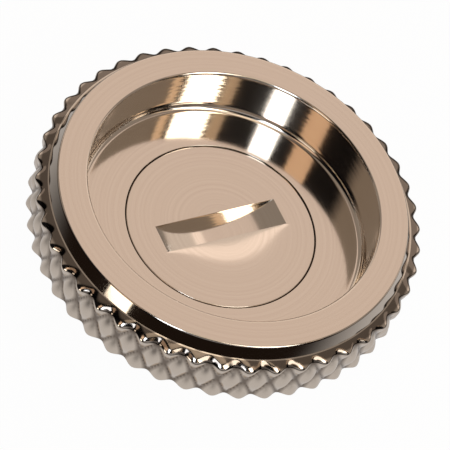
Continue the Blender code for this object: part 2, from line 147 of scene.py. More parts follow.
@dataclass(frozen=True)
class TurnedPlate:
    """Nickel-chrome plate on turned brass.

    The lathe leaves fine rings on the flat faces and faint lines down the dish's wall, and the plate
    over them is bright, with a warm cast from the nickel below it. The knurl's grooves are painted
    darker than its points, as painted shade in the grooves. Rings are drawn at about half a millimetre,
    coarser than the real feed of 0.1 mm, because finer ones don't show.
    """

    name: str = "nickel_chrome_plate_turned"
    colour: str = "#E4D9CC"
    shaded_colour: str = "#DACDBF"
    polish: float = 0.075
    turned_roughness: float = 0.12
    ring_mm: float = 0.5
    ring_depth_mm: float = 0.0015
    wall_radius_mm: float = 23.4
    wall_line_mm: float = 0.8
    wall_line_depth_mm: float = 0.03
    groove_shade_colour: str = "#877C72"
    groove_edge_mm: float = 28.7
    groove_floor_mm: float = 29.72
    groove_top_mm: float = 30.05
    pit_mm: float = 0.9
    pit_depth_mm: float = 0.002

    def material(self) -> Material:
        """Builds the material: polished all over, with lathe rings where a face looks up or down."""
        material, tree = new_material(self.name)
        place = add_node(tree, "NewGeometry", {}, {})
        spot = add_node(tree, "SeparateXYZ", {}, {0: place.outputs["Position"]})
        facing = add_node(tree, "SeparateXYZ", {}, {0: place.outputs["Normal"]})
        flat = add_node(tree, "CombineXYZ", {"Z": 0.0}, {"X": spot.outputs["X"], "Y": spot.outputs["Y"]})
        radius = add_node(tree, "VectorMath", {"operation": "LENGTH"}, {0: flat}).outputs["Value"]
        upright = add_node(tree, "Math", {"operation": "ABSOLUTE"}, {0: facing.outputs["Z"]})
        faced = add_node(tree, "MapRange", {"From Min": 0.55, "From Max": 0.8}, {"Value": upright})
        scale = {"Scale": 1 / (self.ring_mm * MM), "Detail": 3.0, "Roughness": 0.6}
        rings = add_node(tree, "TexNoise", {"noise_dimensions": "1D"} | scale, {"W": radius})
        ring_share = add_node(tree, "Math", {"operation": "MULTIPLY"}, {0: rings, 1: faced})
        spread = {"From Max": 0.7, "To Min": self.polish, "To Max": self.turned_roughness}
        roughness = add_node(tree, "MapRange", spread, {"Value": ring_share})
        bump = self.relief(tree, place, spot.outputs["Z"], radius, faced, ring_share)
        colour = self.tint(tree, radius, ring_share)
        surface = {"Base Color": colour, "Roughness": roughness, "Normal": bump}
        close_material(tree, add_node(tree, "BsdfPrincipled", {"Metallic": 1.0}, surface))
        return material

    def tint(self, tree: NodeTree, radius: NodeSocket, ring_share: Node) -> NodeSocket:
        """Colours the plate: slightly darker in its rings, and darkened with painted shade in the knurl's
        grooves.

        Args:
            tree: The material's tree.
            radius: The distance from the cap's axis.
            ring_share: How much of a lathe ring lies at each spot.

        Returns:
            The colour's socket.
        """
        colours = {"data_type": "RGBA", 6: linear(self.colour), 7: linear(self.shaded_colour)}
        turned = add_node(tree, "Mix", colours, {0: ring_share})
        # Painted shade: past the shoulder the colour darkens towards the knurl's groove floor, as shade in
        # the grooves.
        limit = {"operation": "GREATER_THAN", 1: self.groove_edge_mm * MM}
        outside = add_node(tree, "Math", limit, {0: radius})
        deep = {"From Min": self.groove_floor_mm * MM, "From Max": self.groove_top_mm * MM}
        groove = add_node(tree, "MapRange", deep | {"To Min": 1.0, "To Max": 0.0}, {"Value": radius})
        painted_shade_share = add_node(tree, "Math", {"operation": "MULTIPLY"}, {0: groove, 1: outside})
        shade_mix_settings = {"data_type": "RGBA", 7: linear(self.groove_shade_colour)}
        return add_node(tree, "Mix", shade_mix_settings, {0: painted_shade_share, 6: turned.outputs[2]}).outputs[2]

    def relief(
        self,
        tree: NodeTree,
        place: Node,
        height: NodeSocket,
        radius: NodeSocket,
        faced: Node,
        ring_share: Node,
    ) -> Node:
        """Raises the lathe's rings and lines, and the plate's faint pits.

        Args:
            tree: The material's tree.
            place: The geometry node.
            height: The height above the floor.
            radius: The distance from the cap's axis.
            faced: How far each spot looks up or down.
            ring_share: How much of a lathe ring lies at each spot.

        Returns:
            The last bump node.
        """
        line_scale = {"noise_dimensions": "1D", "Scale": 1 / (self.wall_line_mm * MM), "Detail": 2.0}
        lines = add_node(tree, "TexNoise", line_scale, {"W": height})
        limit = {"operation": "LESS_THAN", 1: self.wall_radius_mm * MM}
        within = add_node(tree, "Math", limit, {0: radius})
        steep = add_node(tree, "Math", {"operation": "SUBTRACT", "use_clamp": True}, {0: within, 1: faced})
        line_share = add_node(tree, "Math", {"operation": "MULTIPLY"}, {0: lines, 1: steep})
        pit_scale = {"Scale": 1 / (self.pit_mm * MM), "Detail": 2.0}
        pits = add_node(tree, "TexNoise", pit_scale, {"Vector": place.outputs["Position"]})
        layers = (
            (ring_share, self.ring_depth_mm, 0.25),
            (line_share, self.wall_line_depth_mm, 0.6),
            (pits, self.pit_depth_mm, 0.3),
        )
        below: dict[str | int, object] = {}
        for pattern, depth_mm, strength in layers:
            deep = {"Strength": strength, "Distance": depth_mm * MM}
            bump = add_node(tree, "Bump", deep, {"Height": pattern, **below})
            below = {"Normal": bump}
        return bump


@dataclass(frozen=True)
class Grained:
    """What rubber, steel and nylon share: an even colour with a fine grain that stands up a little."""

    name: str
    colour: str
    roughness: float
    grain_mm: float
    grain_depth_mm: float
    detail: float = 3.0
    strength: float = 0.2
    stretch: float = 1.0

    def start(self) -> tuple[Material, NodeTree, Node, Node]:
        """Begins the material and returns it with its tree, its grain and its bump."""
        material, tree = new_material(self.name)
        place = add_node(tree, "NewGeometry", {}, {})
        along = {"Scale": (1 / self.stretch, 1.0, 1.0)}
        drawn = add_node(tree, "Mapping", along, {"Vector": place.outputs["Position"]})
        scale = {"Scale": 1 / (self.grain_mm * MM), "Detail": self.detail}
        grain = add_node(tree, "TexNoise", scale, {"Vector": drawn})
        deep = {"Strength": self.strength, "Distance": self.grain_depth_mm * MM}
        return material, tree, grain, add_node(tree, "Bump", deep, {"Height": grain})


@dataclass(frozen=True)
class Rubber(Grained):
    """Moulded nitrile rubber: near black, dull, with a faint bloom from the mould and the oil in it."""

    colour: str = "#1D1C1B"
    bloom: str = "#2E2C2A"
    roughness: float = 0.62
    grain_mm: float = 0.35
    grain_depth_mm: float = 0.02
    detail: float = 4.0
    strength: float = 0.35

    def material(self) -> Material:
        """Builds the material."""
        material, tree, grain, bump = self.start()
        colours = {"data_type": "RGBA", 6: linear(self.colour), 7: linear(self.bloom)}
        colour = add_node(tree, "Mix", colours, {0: grain}).outputs[2]
        surface = {"Roughness": self.roughness, "IOR": 1.52}
        shader = add_node(tree, "BsdfPrincipled", surface, {"Base Color": colour, "Normal": bump})
        close_material(tree, shader)
        return material


@dataclass(frozen=True)
class Steel(Grained):
    """Stainless steel, rolled or pressed, then tumbled: bright, with a faint grain along X."""

    colour: str = "#C9C6C1"
    roughness: float = 0.24
    smoothest: float = 0.75
    roughest: float = 1.3
    grain_mm: float = 0.25
    grain_depth_mm: float = 0.004
    stretch: float = 12.0

    def material(self) -> Material:
        """Builds the material: grain drawn out along X, as rolling leaves it."""
        material, tree, grain, bump = self.start()
        spread = {"To Min": self.roughness * self.smoothest, "To Max": self.roughness * self.roughest}
        roughness = add_node(tree, "MapRange", spread, {"Value": grain})
        metal = {"Base Color": linear(self.colour), "Metallic": 1.0}
        shader = add_node(tree, "BsdfPrincipled", metal, {"Roughness": roughness, "Normal": bump})
        close_material(tree, shader)
        return material


@dataclass(frozen=True)
class Nylon(Grained):
    """Natural nylon, turned from rod: milky, slightly see-through at its edges, with a waxy sheen."""

    name: str = "natural_nylon_turned"
    colour: str = "#E6E0D0"
    roughness: float = 0.42
    grain_mm: float = 0.6
    grain_depth_mm: float = 0.01
    glow_depth_mm: float = 0.5

    def material(self) -> Material:
        """Builds the material."""
        material, tree, _, bump = self.start()
        milk = {"Subsurface Weight": 0.15, "Subsurface Scale": self.glow_depth_mm * MM}
        surface = {"Base Color": linear(self.colour), "Roughness": self.roughness, "IOR": 1.53}
        close_material(tree, add_node(tree, "BsdfPrincipled", surface | milk, {"Normal": bump}))
        return material


# ---------------------------------------------------------------- turned meshes


@dataclass(frozen=True)
class Corner:
    """A corner of a turned profile, in millimetres, with the radius that rounds it."""

    radius: float
    drop: float
    fillet: float = 0.0


def rounded(
    corners: Sequence[Corner], arc_steps: int = 4, support: float = 0.12, most: float = 0.45
) -> list[tuple[float, float]]:
    """Rounds the corners of an open profile.

    Args:
        corners: The profile's corners in order; the first and last are kept as they are.
        arc_steps: Straight steps in each rounded corner.
        support: Length of the short flat that holds a face's shading beside each rounded corner.
        most: Largest share of a side that one corner may take.

    Returns:
        (radius, drop) points.
    """
    points = [(corners[0].radius, corners[0].drop)]
    for before, here, after in zip(corners, corners[1:], corners[2:]):
        spot = np.array([here.radius, here.drop])
        back = np.array([before.radius, before.drop]) - spot
        ahead = np.array([after.radius, after.drop]) - spot
        back_length, ahead_length = np.linalg.norm(back), np.linalg.norm(ahead)
        back, ahead = back / back_length, ahead / ahead_length
        half = math.acos(float(np.clip(back @ ahead, -1, 1))) / 2
        if here.fillet == 0 or half > math.radians(89):
            points.append(tuple(spot))
            continue
        reach = min(here.fillet / math.tan(half), most * back_length, most * ahead_length)
        fillet = reach * math.tan(half)
        middle = spot + (back + ahead) / np.linalg.norm(back + ahead) * fillet / math.sin(half)
        start, end = spot + back * reach, spot + ahead * reach
        lead = min(support, (back_length - reach) / 3)
        points.append(tuple(start + back * lead))
        first, last = start - middle, end - middle
        sweep = math.pi - 2 * half
        for step in range(arc_steps + 1):
            share = step / arc_steps
            mixed = math.sin((1 - share) * sweep) * first + math.sin(share * sweep) * last
            points.append(tuple(middle + mixed / math.sin(sweep)))
        trail = min(support, (ahead_length - reach) / 3)
        points.append(tuple(end + ahead * trail))
    points.append((corners[-1].radius, corners[-1].drop))
    return points


def ring(radius: float | np.ndarray, drop: float, steps: int) -> np.ndarray:
    """Points of one ring round the cap's axis.

    Args:
        radius: One radius, or one for each point, in millimetres.
        drop: Distance below the top face, in millimetres.
        steps: Number of points.

    Returns:
        An array of points in metres.
    """
    angle = np.arange(steps) * TURN / steps
    size = np.broadcast_to(radius, (steps,))
    height = np.full(steps, CAP_HEIGHT - drop)
    return np.stack([size * np.cos(angle), size * np.sin(angle), height], axis=1) * MM


def skin(name: str, rings: Sequence[np.ndarray], closed: bool) -> Object:
    """Skins rings that run down the outer side of a turned shape and up its inner side.

    Args:
        name: The new object's name.
        rings: Rings of points. A ring of one point is a pole, and a ring may have half or double the
            points of the next.
        closed: Whether the last ring joins the first.

    Returns:
        The new object, shaded smooth between sharp edges.
    """
    starts = np.cumsum([0] + [len(points) for points in rings])
    faces: list[tuple[int, ...]] = []
    pairs = list(zip(range(len(rings)), range(1, len(rings))))
    if closed:
        pairs.append((len(rings) - 1, 0))
    for upper, lower in pairs:
        count_a, count_b = len(rings[upper]), len(rings[lower])
        a, b = int(starts[upper]), int(starts[lower])
        for k in range(max(1, min(n for n in (count_a, count_b) if n > 1))):
            following = k + 1
            if count_a == count_b:
                n = following % count_a
                faces.append((a + k, b + k, b + n, a + n))
            elif count_a == 1:
                faces.append((a, b + k, b + following % count_b))
            elif count_b == 1:
                faces.append((a + k, b, a + following % count_a))
            elif count_a == 2 * count_b:
                middle, far = a + 2 * k + 1, a + (2 * k + 2) % count_a
                n = b + following % count_b
                faces += [(a + 2 * k, b + k, middle), (middle, b + k, n), (middle, n, far)]
            else:
                middle, far = b + 2 * k + 1, b + (2 * k + 2) % count_b
                n = a + following % count_a
                faces += [(a + k, b + 2 * k, middle), (a + k, middle, n), (n, middle, far)]
    mesh = bpy.data.meshes.new(name)
    mesh.from_pydata(np.concatenate(rings).tolist(), [], faces)
    return add_object(name, mesh)


def add_object(name: str, mesh: Mesh) -> Object:
    """Links a mesh to the scene, shaded smooth between sharp edges."""
    shade(mesh)
    return link(bpy.data.objects.new(name, mesh))


def link(obj: Object) -> Object:
    """Puts an object into the scene and returns it."""
    bpy.context.scene.collection.objects.link(obj)
    return obj


@contextmanager
def edited(mesh: Mesh) -> Iterator[bmesh.types.BMesh]:
    """Opens a mesh for editing and writes it back at the end."""
    bm = bmesh.new()
    bm.from_mesh(mesh)
    yield bm
    bm.to_mesh(mesh)
    bm.free()


def shade(mesh: Mesh) -> None:
    """Shades a mesh smooth between sharp edges."""
    mesh.shade_smooth()
    mesh.set_sharp_from_angle(angle=SHARP)


def turned_rings(profile: Sequence[tuple[float, float]], steps: int) -> list[np.ndarray]:
    """Rings of one size for each point of a profile."""
    return [ring(radius, drop, steps) for radius, drop in profile]


def cut(obj: Object, cutter: Object) -> None:
    """Cuts one mesh with another, keeps the result on the first and removes the second."""
    modifier = obj.modifiers.new("cut", "BOOLEAN")
    modifier.operation = "DIFFERENCE"
    modifier.solver = "EXACT"
    modifier.object = cutter
    graph = bpy.context.evaluated_depsgraph_get()
    result = bpy.data.meshes.new_from_object(obj.evaluated_get(graph))
    obj.modifiers.clear()
    obj.data = result
    bpy.data.objects.remove(cutter, do_unlink=True)
    shade(result)


def rod(radius: float, length: float, place: Matrix, steps: int = 32) -> Object:
    """A round cutter, in millimetres, along its own Z at a place in metres."""
    mesh = bpy.data.meshes.new("cutter")
    size = {"radius1": radius * MM, "radius2": radius * MM, "depth": length * MM}
    with edited(mesh) as bm:
        bmesh.ops.create_cone(bm, cap_ends=True, segments=steps, matrix=place, **size)
    return link(bpy.data.objects.new("cutter", mesh))


def dress(obj: Object, material: Material, body: Body, stands_for: str) -> None:
    """Gives a piece its finish and its body, and hides the CAD node that it stands for."""
    obj.data.materials.clear()
    obj.data.materials.append(material)
    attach(obj, body.value)
    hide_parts(stands_for)
    LOG.info("%s rides on %s", obj.name, body.value)


# ---------------------------------------------------------------- the cap's body


@dataclass
class KnurlBand:
    """The rim's coarse diamond knurl, pressed by two crossed wheels, with rounded points."""

    tip_radius: float = 30.58
    root_radius: float = 29.68
    edge_radius: float = 28.5
    count: int = 46
    top: float = 1.96
    height: float = 8.3
    angle: float = math.radians(30.0)
    top_round: float = 1.2
    foot_round: float = 0.5
    lead_in: float = 0.2
    rounding: float = 1.9
    steps: int = 552
    rows: int = 44

    def relief(self, angle: np.ndarray, drop: float) -> np.ndarray:
        """How far the knurl stands up at points round one row, from 0 in a groove to 1 on a point."""
        half_pitch = math.pi * self.tip_radius / self.count
        row_spacing = half_pitch / math.tan(self.angle)
        middle_row = self.top + self.height / 2
        along = (drop - middle_row) / (2 * row_spacing)
        around = angle * self.count / TURN
        left = 2 * np.mod(around + along, 1.0) - 1
        right = 2 * np.mod(around - along, 1.0) - 1
        return (1 - np.abs(left) ** self.rounding) * (1 - np.abs(right) ** self.rounding)

    def rings(self) -> list[np.ndarray]:
        """Rings of the band, from its top edge to its bottom edge, rounded over at both."""
        angle = np.arange(self.steps) * TURN / self.steps
        depth = self.tip_radius - self.root_radius
        made = []
        at_edge = math.sqrt(1 - (1 - self.lead_in) ** 2)
        for row in range(self.rows + 1):
            spread = (1 - math.cos(math.pi * row / self.rows)) / 2
            inside = self.height * spread
            from_edge = min(1.0, inside / self.top_round, (self.height - inside) / self.foot_round)
            left_to_round = (1 - self.lead_in) * (1 - from_edge)
            out = (math.sqrt(1 - left_to_round**2) - at_edge) / (1 - at_edge)
            raised = self.root_radius + depth * self.relief(angle, self.top + inside)
            radius = self.edge_radius + (raised - self.edge_radius) * out
            made.append(ring(radius, self.top + inside, self.steps))
        return made


@dataclass
class SkirtThread:
    """The skirt's right-hand pipe thread, with run-outs at both ends."""

    crest_radius: float = 20.95
    root_radius: float = 19.47
    pitch: float = 2.309
    turns: int = 3
    start: float = 13.7
    root_width: float = 1.9
    crest_width: float = 0.45
    run_out: float = math.radians(40.0)
    steps: int = 276
    rows: int = 60

    def rings(self) -> list[np.ndarray]:
        """Rings of the threaded length, from its top to its bottom."""
        angle = np.arange(self.steps) * TURN / self.steps
        length = self.pitch * self.turns + self.root_width
        centre_bottom = self.start + length - self.root_width / 2
        made = []
        for row in range(self.rows + 1):
            drop = self.start + length * row / self.rows
            climb = (centre_bottom - drop) / self.pitch - angle / TURN
            winding = np.clip(np.round(climb), 0, self.turns - 1)
            away = np.abs(climb - winding) * self.pitch
            flank = (self.root_width / 2 - away) / ((self.root_width - self.crest_width) / 2)
            wound = angle + TURN * winding
            from_end = np.minimum(wound, TURN * self.turns - wound)
            share = np.clip(flank, 0, 1) * np.clip(from_end / self.run_out, 0, 1)
            eased = share * share * (3 - 2 * share)
            radius = self.root_radius + (self.crest_radius - self.root_radius) * eased
            made.append(ring(radius, drop, self.steps))
        return made


@dataclass
class CapBody:
    """The one-piece body: flat top ring, polished shoulder, knurl, dish, threaded skirt and boss."""

    knurl: KnurlBand = field(default_factory=KnurlBand)
    thread: SkirtThread = field(default_factory=SkirtThread)
    dish_radius: float = 22.9
    dish_depth: float = 8.75
    dish_corner: float = 1.0
    mouth_round: float = 0.6
    top_face_radius: float = 27.55
    top_edge_round: float = 0.3
    shoulder_hold: float = 0.94
    rim_height: float = 11.3
    rim_foot_radius: float = 27.9
    foot_bevel: float = 0.1
    skirt_bore: float = 17.0
    nose: float = 0.7
    counterbore: float = 15.27
    counterbore_floor: float = 14.65
    web_underside: float = 16.85
    boss_radius: float = 7.9
    shoulder_step: float = 0.9
    shoulder_end: float = 17.75
    groove_depth: float = 0.8
    groove_top: float = 20.15
    groove_bottom: float = 21.55
    boss_end: float = 23.0
    pocket_radius: float = 6.3
    pocket_ceiling: float = 19.0
    bore_radius: float = 4.3
    vent_hole_radius: float = 0.9
    vent_hole_circle: float = 9.9
    vent_holes: int = 6
    groove_edge: float = 0.08
    step_edge: float = 0.1
    bore_edge: float = 0.15
    pocket_edge: float = 0.2
    lip_edge: float = 0.25
    root_fillet: float = 0.3
    web_fillet: float = 0.6

    def rim_rings(self) -> list[np.ndarray]:
        """Rings from the middle of the flat top face, over the shoulder and knurl, to the rim's foot."""
        start = Corner((self.dish_radius + self.top_face_radius) / 2, 0.0)
        edge = Corner(self.top_face_radius, 0.0, self.top_edge_round)
        end = Corner(self.knurl.edge_radius, self.knurl.top)
        shoulder = rounded([start, edge, end], arc_steps=6)[:-1]
        hold = self.shoulder_hold
        shoulder.append((edge.radius + (end.radius - edge.radius) * hold, end.drop * hold))
        foot = [
            (self.rim_foot_radius + self.foot_bevel, self.rim_height - 3 * self.foot_bevel),
            (self.rim_foot_radius - self.foot_bevel, self.rim_height),
            (self.rim_foot_radius - 4 * self.foot_bevel, self.rim_height),
        ]
        steps = self.knurl.steps
        return turned_rings(shoulder, steps) + self.knurl.rings() + turned_rings(foot, steps)

    def skirt_rings(self) -> list[np.ndarray]:
        """Rings under the rim, down the thread, round the skirt's end and up inside it to the boss."""
        root = self.thread.root_radius
        steps = self.thread.steps
        shoulder = self.boss_radius + self.shoulder_step
        groove = self.boss_radius - self.groove_depth
        neck = rounded(
            [
                Corner(self.rim_foot_radius - 1.0, self.rim_height),
                Corner(root, self.rim_height, 0.4),
                Corner(root, self.thread.start - 0.1),
            ]
        )
        end = rounded(
            [
                Corner(root, CAP_HEIGHT - 1.2),
                Corner(root, CAP_HEIGHT - self.nose, self.root_fillet),
                Corner(root - self.nose, CAP_HEIGHT, self.pocket_edge),
                Corner(self.skirt_bore, CAP_HEIGHT, self.lip_edge),
                Corner(self.skirt_bore, self.web_underside, self.web_fillet),
                Corner(shoulder, self.web_underside, self.root_fillet),
                Corner(shoulder, self.shoulder_end, self.step_edge),
                Corner(self.boss_radius, self.shoulder_end, self.step_edge),
                Corner(self.boss_radius, self.groove_top, self.groove_edge),
                Corner(groove, self.groove_top, self.groove_edge),
                Corner(groove, self.groove_bottom, self.groove_edge),
                Corner(self.boss_radius, self.groove_bottom, self.groove_edge),
                Corner(self.boss_radius, self.boss_end, self.lip_edge),
                Corner(self.pocket_radius, self.boss_end, self.pocket_edge),
                Corner(self.pocket_radius, self.pocket_ceiling, self.pocket_edge),
                Corner(self.bore_radius, self.pocket_ceiling, self.bore_edge),
                Corner(self.bore_radius, self.counterbore_floor, self.bore_edge),
                Corner(self.counterbore, self.counterbore_floor, self.root_fillet),
                Corner(self.counterbore, self.dish_depth, self.groove_edge),
                Corner(self.dish_radius, self.dish_depth, self.dish_corner),
                Corner(self.dish_radius, 0.0, self.mouth_round),
                Corner(self.dish_radius + 1.0, 0.0),
            ],
            arc_steps=5,
        )
        return turned_rings(neck, steps) + self.thread.rings() + turned_rings(end, steps)

    def build(self, plate: Material) -> Object:
        """Makes the body and pierces its vent holes."""
        body = skin("cap_body_shell", self.rim_rings() + self.skirt_rings(), closed=True)
        middle = (CAP_HEIGHT - (self.counterbore_floor + self.web_underside) / 2) * MM
        for index in range(self.vent_holes):
            spin = Matrix.Rotation(TURN * (index + 0.5) / self.vent_holes, 4, "Z")
            place = spin @ Matrix.Translation((self.vent_hole_circle * MM, 0.0, middle))
            length = self.web_underside - self.counterbore_floor + OVERSHOOT
            cut(body, rod(self.vent_hole_radius, length, place))
        dress(body, plate, Body.CAP, "cap_body")
        return body


# ---------------------------------------------------------------- the vent


@dataclass
class VentScrew:
    """The slotted disc and its threaded shank, turned in one piece, the slot cut by a disc cutter."""

    disc_radius: float = 15.1
    disc_top: float = 8.75
    disc_bottom: float = 14.35
    disc_edge: float = 0.12
    slot_width: float = 4.8
    slot_depth: float = 2.3
    cutter_radius: float = 25.0
    slot_break: float = 0.12
    seal_circle: float = 12.3
    seal_section: float = 1.0
    seal_gap: float = 0.3
    shank_radius: float = 4.0
    thread_depth: float = 0.75
    lead: float = 1.5
    groove_top: float = 21.4
    groove_bottom: float = 22.8
    groove_radius: float = 3.2
    shank_end: float = 23.3
    shank_edge: float = 0.06
    groove_edge: float = 0.1
    groove_fillet: float = 0.2
    foot_edge: float = 0.3
    steps: int = 288
    shank_steps: int = 72

    def disc_profile(self) -> list[tuple[float, float]]:
        """The disc from its face, round its edge, to the seal's groove and the shank."""
        outer = self.seal_circle + self.seal_section + self.seal_gap
        inner = self.seal_circle - self.seal_section - self.seal_gap
        ceiling = self.disc_bottom - 2 * self.seal_section - self.seal_gap
        return rounded(
            [
                Corner(self.disc_radius - 1.5, self.disc_top),
                Corner(self.disc_radius, self.disc_top, self.disc_edge),
                Corner(self.disc_radius, self.disc_bottom, self.foot_edge),
                Corner(outer, self.disc_bottom, self.groove_edge),
                Corner(outer, ceiling, self.groove_fillet),
                Corner(inner, ceiling, self.groove_fillet),
                Corner(inner, self.disc_bottom, self.groove_edge),
                Corner(inner - 1.0, self.disc_bottom),
            ],
            arc_steps=3,
        )

    def shank_rings(self) -> list[np.ndarray]:
        """The threaded shank, the clip's groove and the chamfered end."""
        angle = np.arange(self.shank_steps) * TURN / self.shank_steps
        start, end = self.disc_bottom + 0.5, self.groove_top - 0.3
        rows = round((end - start) / self.lead * 10)
        made = turned_rings([(self.shank_radius + 0.6, self.disc_bottom)], self.shank_steps)
        made += turned_rings([(self.shank_radius, self.disc_bottom + 0.15)], self.shank_steps)
        for row in range(rows + 1):
            drop = start + (end - start) * row / rows
            phase = np.mod(-drop / self.lead - angle / TURN, 1.0)
            flank = np.clip(1.25 - np.abs(2 * phase - 1) * 1.5, 0, 1)
            fade = min(1.0, row / 4, (rows - row) / 4)
            radius = self.shank_radius - self.thread_depth * (1 - flank) * fade
            made.append(ring(radius, drop, self.shank_steps))
        tail = rounded(
            [
                Corner(self.shank_radius, self.groove_top - 0.15),
                Corner(self.shank_radius, self.groove_top, self.shank_edge),
                Corner(self.groove_radius, self.groove_top, self.shank_edge),
                Corner(self.groove_radius, self.groove_bottom, self.shank_edge),
                Corner(self.shank_radius - 0.1, self.groove_bottom, self.shank_edge),
                Corner(self.shank_radius - 0.5, self.shank_end, self.groove_edge),
                Corner(1.5, self.shank_end),
            ],
            arc_steps=2,
        )
        return made + turned_rings(tail, self.shank_steps) + [ring(0.0, self.shank_end, 1)]

    def build(self, plate: Material) -> Object:
        """Makes the screw, cuts its slot and breaks the slot's sharp edge."""
        rings = [ring(0.0, self.disc_top, 1), ring(self.disc_radius - 3.0, self.disc_top, self.steps)]
        rings += turned_rings(self.disc_profile(), self.steps)
        rings += [ring(self.shank_radius + 3.0, self.disc_bottom, self.steps // 2)]
        rings += self.shank_rings()
        screw = skin("vent_screw_slotted", rings, closed=False)
        centre = CAP_HEIGHT - self.disc_top - self.slot_depth + self.cutter_radius
        place = Matrix.Translation((0.0, 0.0, centre * MM)) @ Matrix.Rotation(math.pi / 2, 4, "X")
        cut(screw, rod(self.cutter_radius, self.slot_width, place, steps=512))
        self.break_slot_edge(screw.data)
        dress(screw, plate, Body.VENT, "vent_screw")
        return screw

    def break_slot_edge(self, mesh: Mesh) -> None:
        """Rounds the sharp edge where the slot meets the disc's face."""
        level = (CAP_HEIGHT - self.disc_top) * MM
        reach = (self.disc_radius - 1.0) * MM
        corner = math.radians(20)
        shape = {"offset": self.slot_break * MM, "segments": 2, "profile": 0.5}
        with edited(mesh) as bm:
            edges = []
            for edge in bm.edges:
                on_face = all(abs(v.co.z - level) < 1e-6 and v.co.xy.length < reach for v in edge.verts)
                if on_face and len(edge.link_faces) == 2 and edge.calc_face_angle(0.0) > corner:
                    edges.append(edge)
            bmesh.ops.bevel(bm, geom=edges, affect="EDGES", clamp_overlap=True, **shape)
        shade(mesh)


@dataclass
class VentHardware:
    """What holds and seals the vent screw: its ring seal, stop washer and stop clip."""

    seal_circle: float = 12.3
    seal_section: float = 1.0
    seal_centre: float = 13.35
    washer_bore: float = 4.3
    washer_radius: float = 6.0
    washer_top: float = 20.8
    washer_thickness: float = 0.6
    clip_top: float = 21.7
    clip_thickness: float = 0.8
    clip_grip: float = 3.3
    clip_relief: float = 4.5
    clip_radius: float = 5.95
    clip_mouth: float = math.radians(38.0)
    clip_ends: float = 0.75
    clip_hold: float = math.radians(17.0)

    def build_seal(self, rubber: Material) -> Object:
        """Makes the ring seal with its moulding flash line."""
        profile = []
        for step in range(24):
            angle = TURN * step / 24
            flash = 0.04 if step in (0, 12) else 0.0
            size = self.seal_section + flash
            radius = self.seal_circle + size * math.cos(angle)
            profile.append((radius, self.seal_centre + size * math.sin(angle)))
        seal = skin("vent_seal_ring", turned_rings(profile, 144), closed=True)
        dress(seal, rubber, Body.SEAL, "vent_seal")
        return seal

    def build_washer(self, steel: Material) -> Object:
        """Makes the stop washer with rounded, sheared edges."""
        size = (self.washer_bore, self.washer_radius, self.washer_top, self.washer_thickness)
        washer = make_washer("stop_washer_ring", *size, steps=96)
        dress(washer, steel, Body.VENT, "stop_washer")
        return washer

    def build_clip(self, steel: Material) -> Object:
        """Makes the stop clip: an E-shaped clip that grips its groove at three points."""
        half = self.clip_mouth
        outline = arc(self.clip_radius, -math.pi / 2 + half, TURN - math.pi / 2 - half, 60)
        ends = half * self.clip_ends
        for angle in arc_steps(TURN - math.pi / 2 - ends, -math.pi / 2 + ends, 96):
            around = (angle + math.pi / 2) % TURN
            grips = any(abs(around - at) < self.clip_hold for at in (half, math.pi, TURN - half))
            outline.append(polar(self.clip_grip if grips else self.clip_relief, angle))
        clip = pressed("stop_clip_e_ring", [outline], self.clip_top, self.clip_thickness)
        dress(clip, steel, Body.VENT, "stop_clip")
        return clip


# ---------------------------------------------------------------- flat and pressed pieces


def polar(radius: float, angle: float) -> tuple[float, float]:
    """A point at a radius and an angle."""
    return (radius * math.cos(angle), radius * math.sin(angle))


def arc_steps(start: float, end: float, steps: int) -> list[float]:
    """Evenly spaced angles from start to end, both included."""
    return [start + (end - start) * step / steps for step in range(steps + 1)]


def arc(
    radius: float, start: float, end: float, steps: int, centre: tuple[float, float] = (0.0, 0.0)
) -> list[tuple[float, float]]:
    """Points of an arc about a centre, both ends included."""
    spots = (polar(radius, angle) for angle in arc_steps(start, end, steps))
    return [(centre[0] + x, centre[1] + y) for x, y in spots]


def make_washer(
    name: str, bore: float, outer: float, top: float, thickness: float, steps: int, edge: float = 0.12
) -> Object:
    """Turns a flat ring with rounded edges.

    Args:
        name: The new object's name.
        bore: Inner radius in millimetres.
        outer: Outer radius.
        top: Drop of its upper face.
        thickness: Its thickness.
        steps: Points round it.
        edge: Radius of its edges.

    Returns:
        The new object.
    """
    middle = (bore + outer) / 2
    corners = [
        Corner(middle, top),
        Corner(outer, top, edge),
        Corner(outer, top + thickness, edge),
        Corner(bore, top + thickness, edge),
        Corner(bore, top, edge),
        Corner(middle - 0.01, top),
    ]
    return skin(name, turned_rings(rounded(corners, arc_steps=3), steps), closed=True)


def pressed(
    name: str,
    outlines: Sequence[Sequence[tuple[float, float]]],
    top: float,
    thickness: float,
    edge: float = 0.08,
) -> Object:
    """Presses a flat piece from sheet.

    Args:
        name: The new object's name.
        outlines: The outline, then any holes, as closed loops in millimetres.
        top: Drop of its upper face.
        thickness: Its thickness.
        edge: Radius of its edges.

    Returns:
        The new mesh object.
    """
    curve = bpy.data.curves.new(name, "CURVE")
    curve.dimensions = "2D"
    curve.fill_mode = "BOTH"
    curve.extrude = (thickness / 2 - edge) * MM
    curve.bevel_depth = edge * MM
    curve.bevel_resolution = 1
    curve.offset = -edge * MM
    for outline in outlines:
        spline = curve.splines.new("POLY")
        spline.points.add(len(outline) - 1)
        for point, (x, y) in zip(spline.points, outline):
            point.co = (x * MM, y * MM, 0.0, 1.0)
        spline.use_cyclic_u = True
    sheet = link(bpy.data.objects.new(f"{name}_curve", curve))
    sheet.location.z = (CAP_HEIGHT - top - thickness / 2) * MM
    graph = bpy.context.evaluated_depsgraph_get()
    mesh = bpy.data.meshes.new_from_object(sheet.evaluated_get(graph))
    mesh.transform(sheet.matrix_world)
    bpy.data.objects.remove(sheet, do_unlink=True)
    with edited(mesh) as bm:
        bmesh.ops.remove_doubles(bm, verts=bm.verts, dist=1e-6)
        bmesh.ops.recalc_face_normals(bm, faces=bm.faces)
    return add_object(name, mesh)


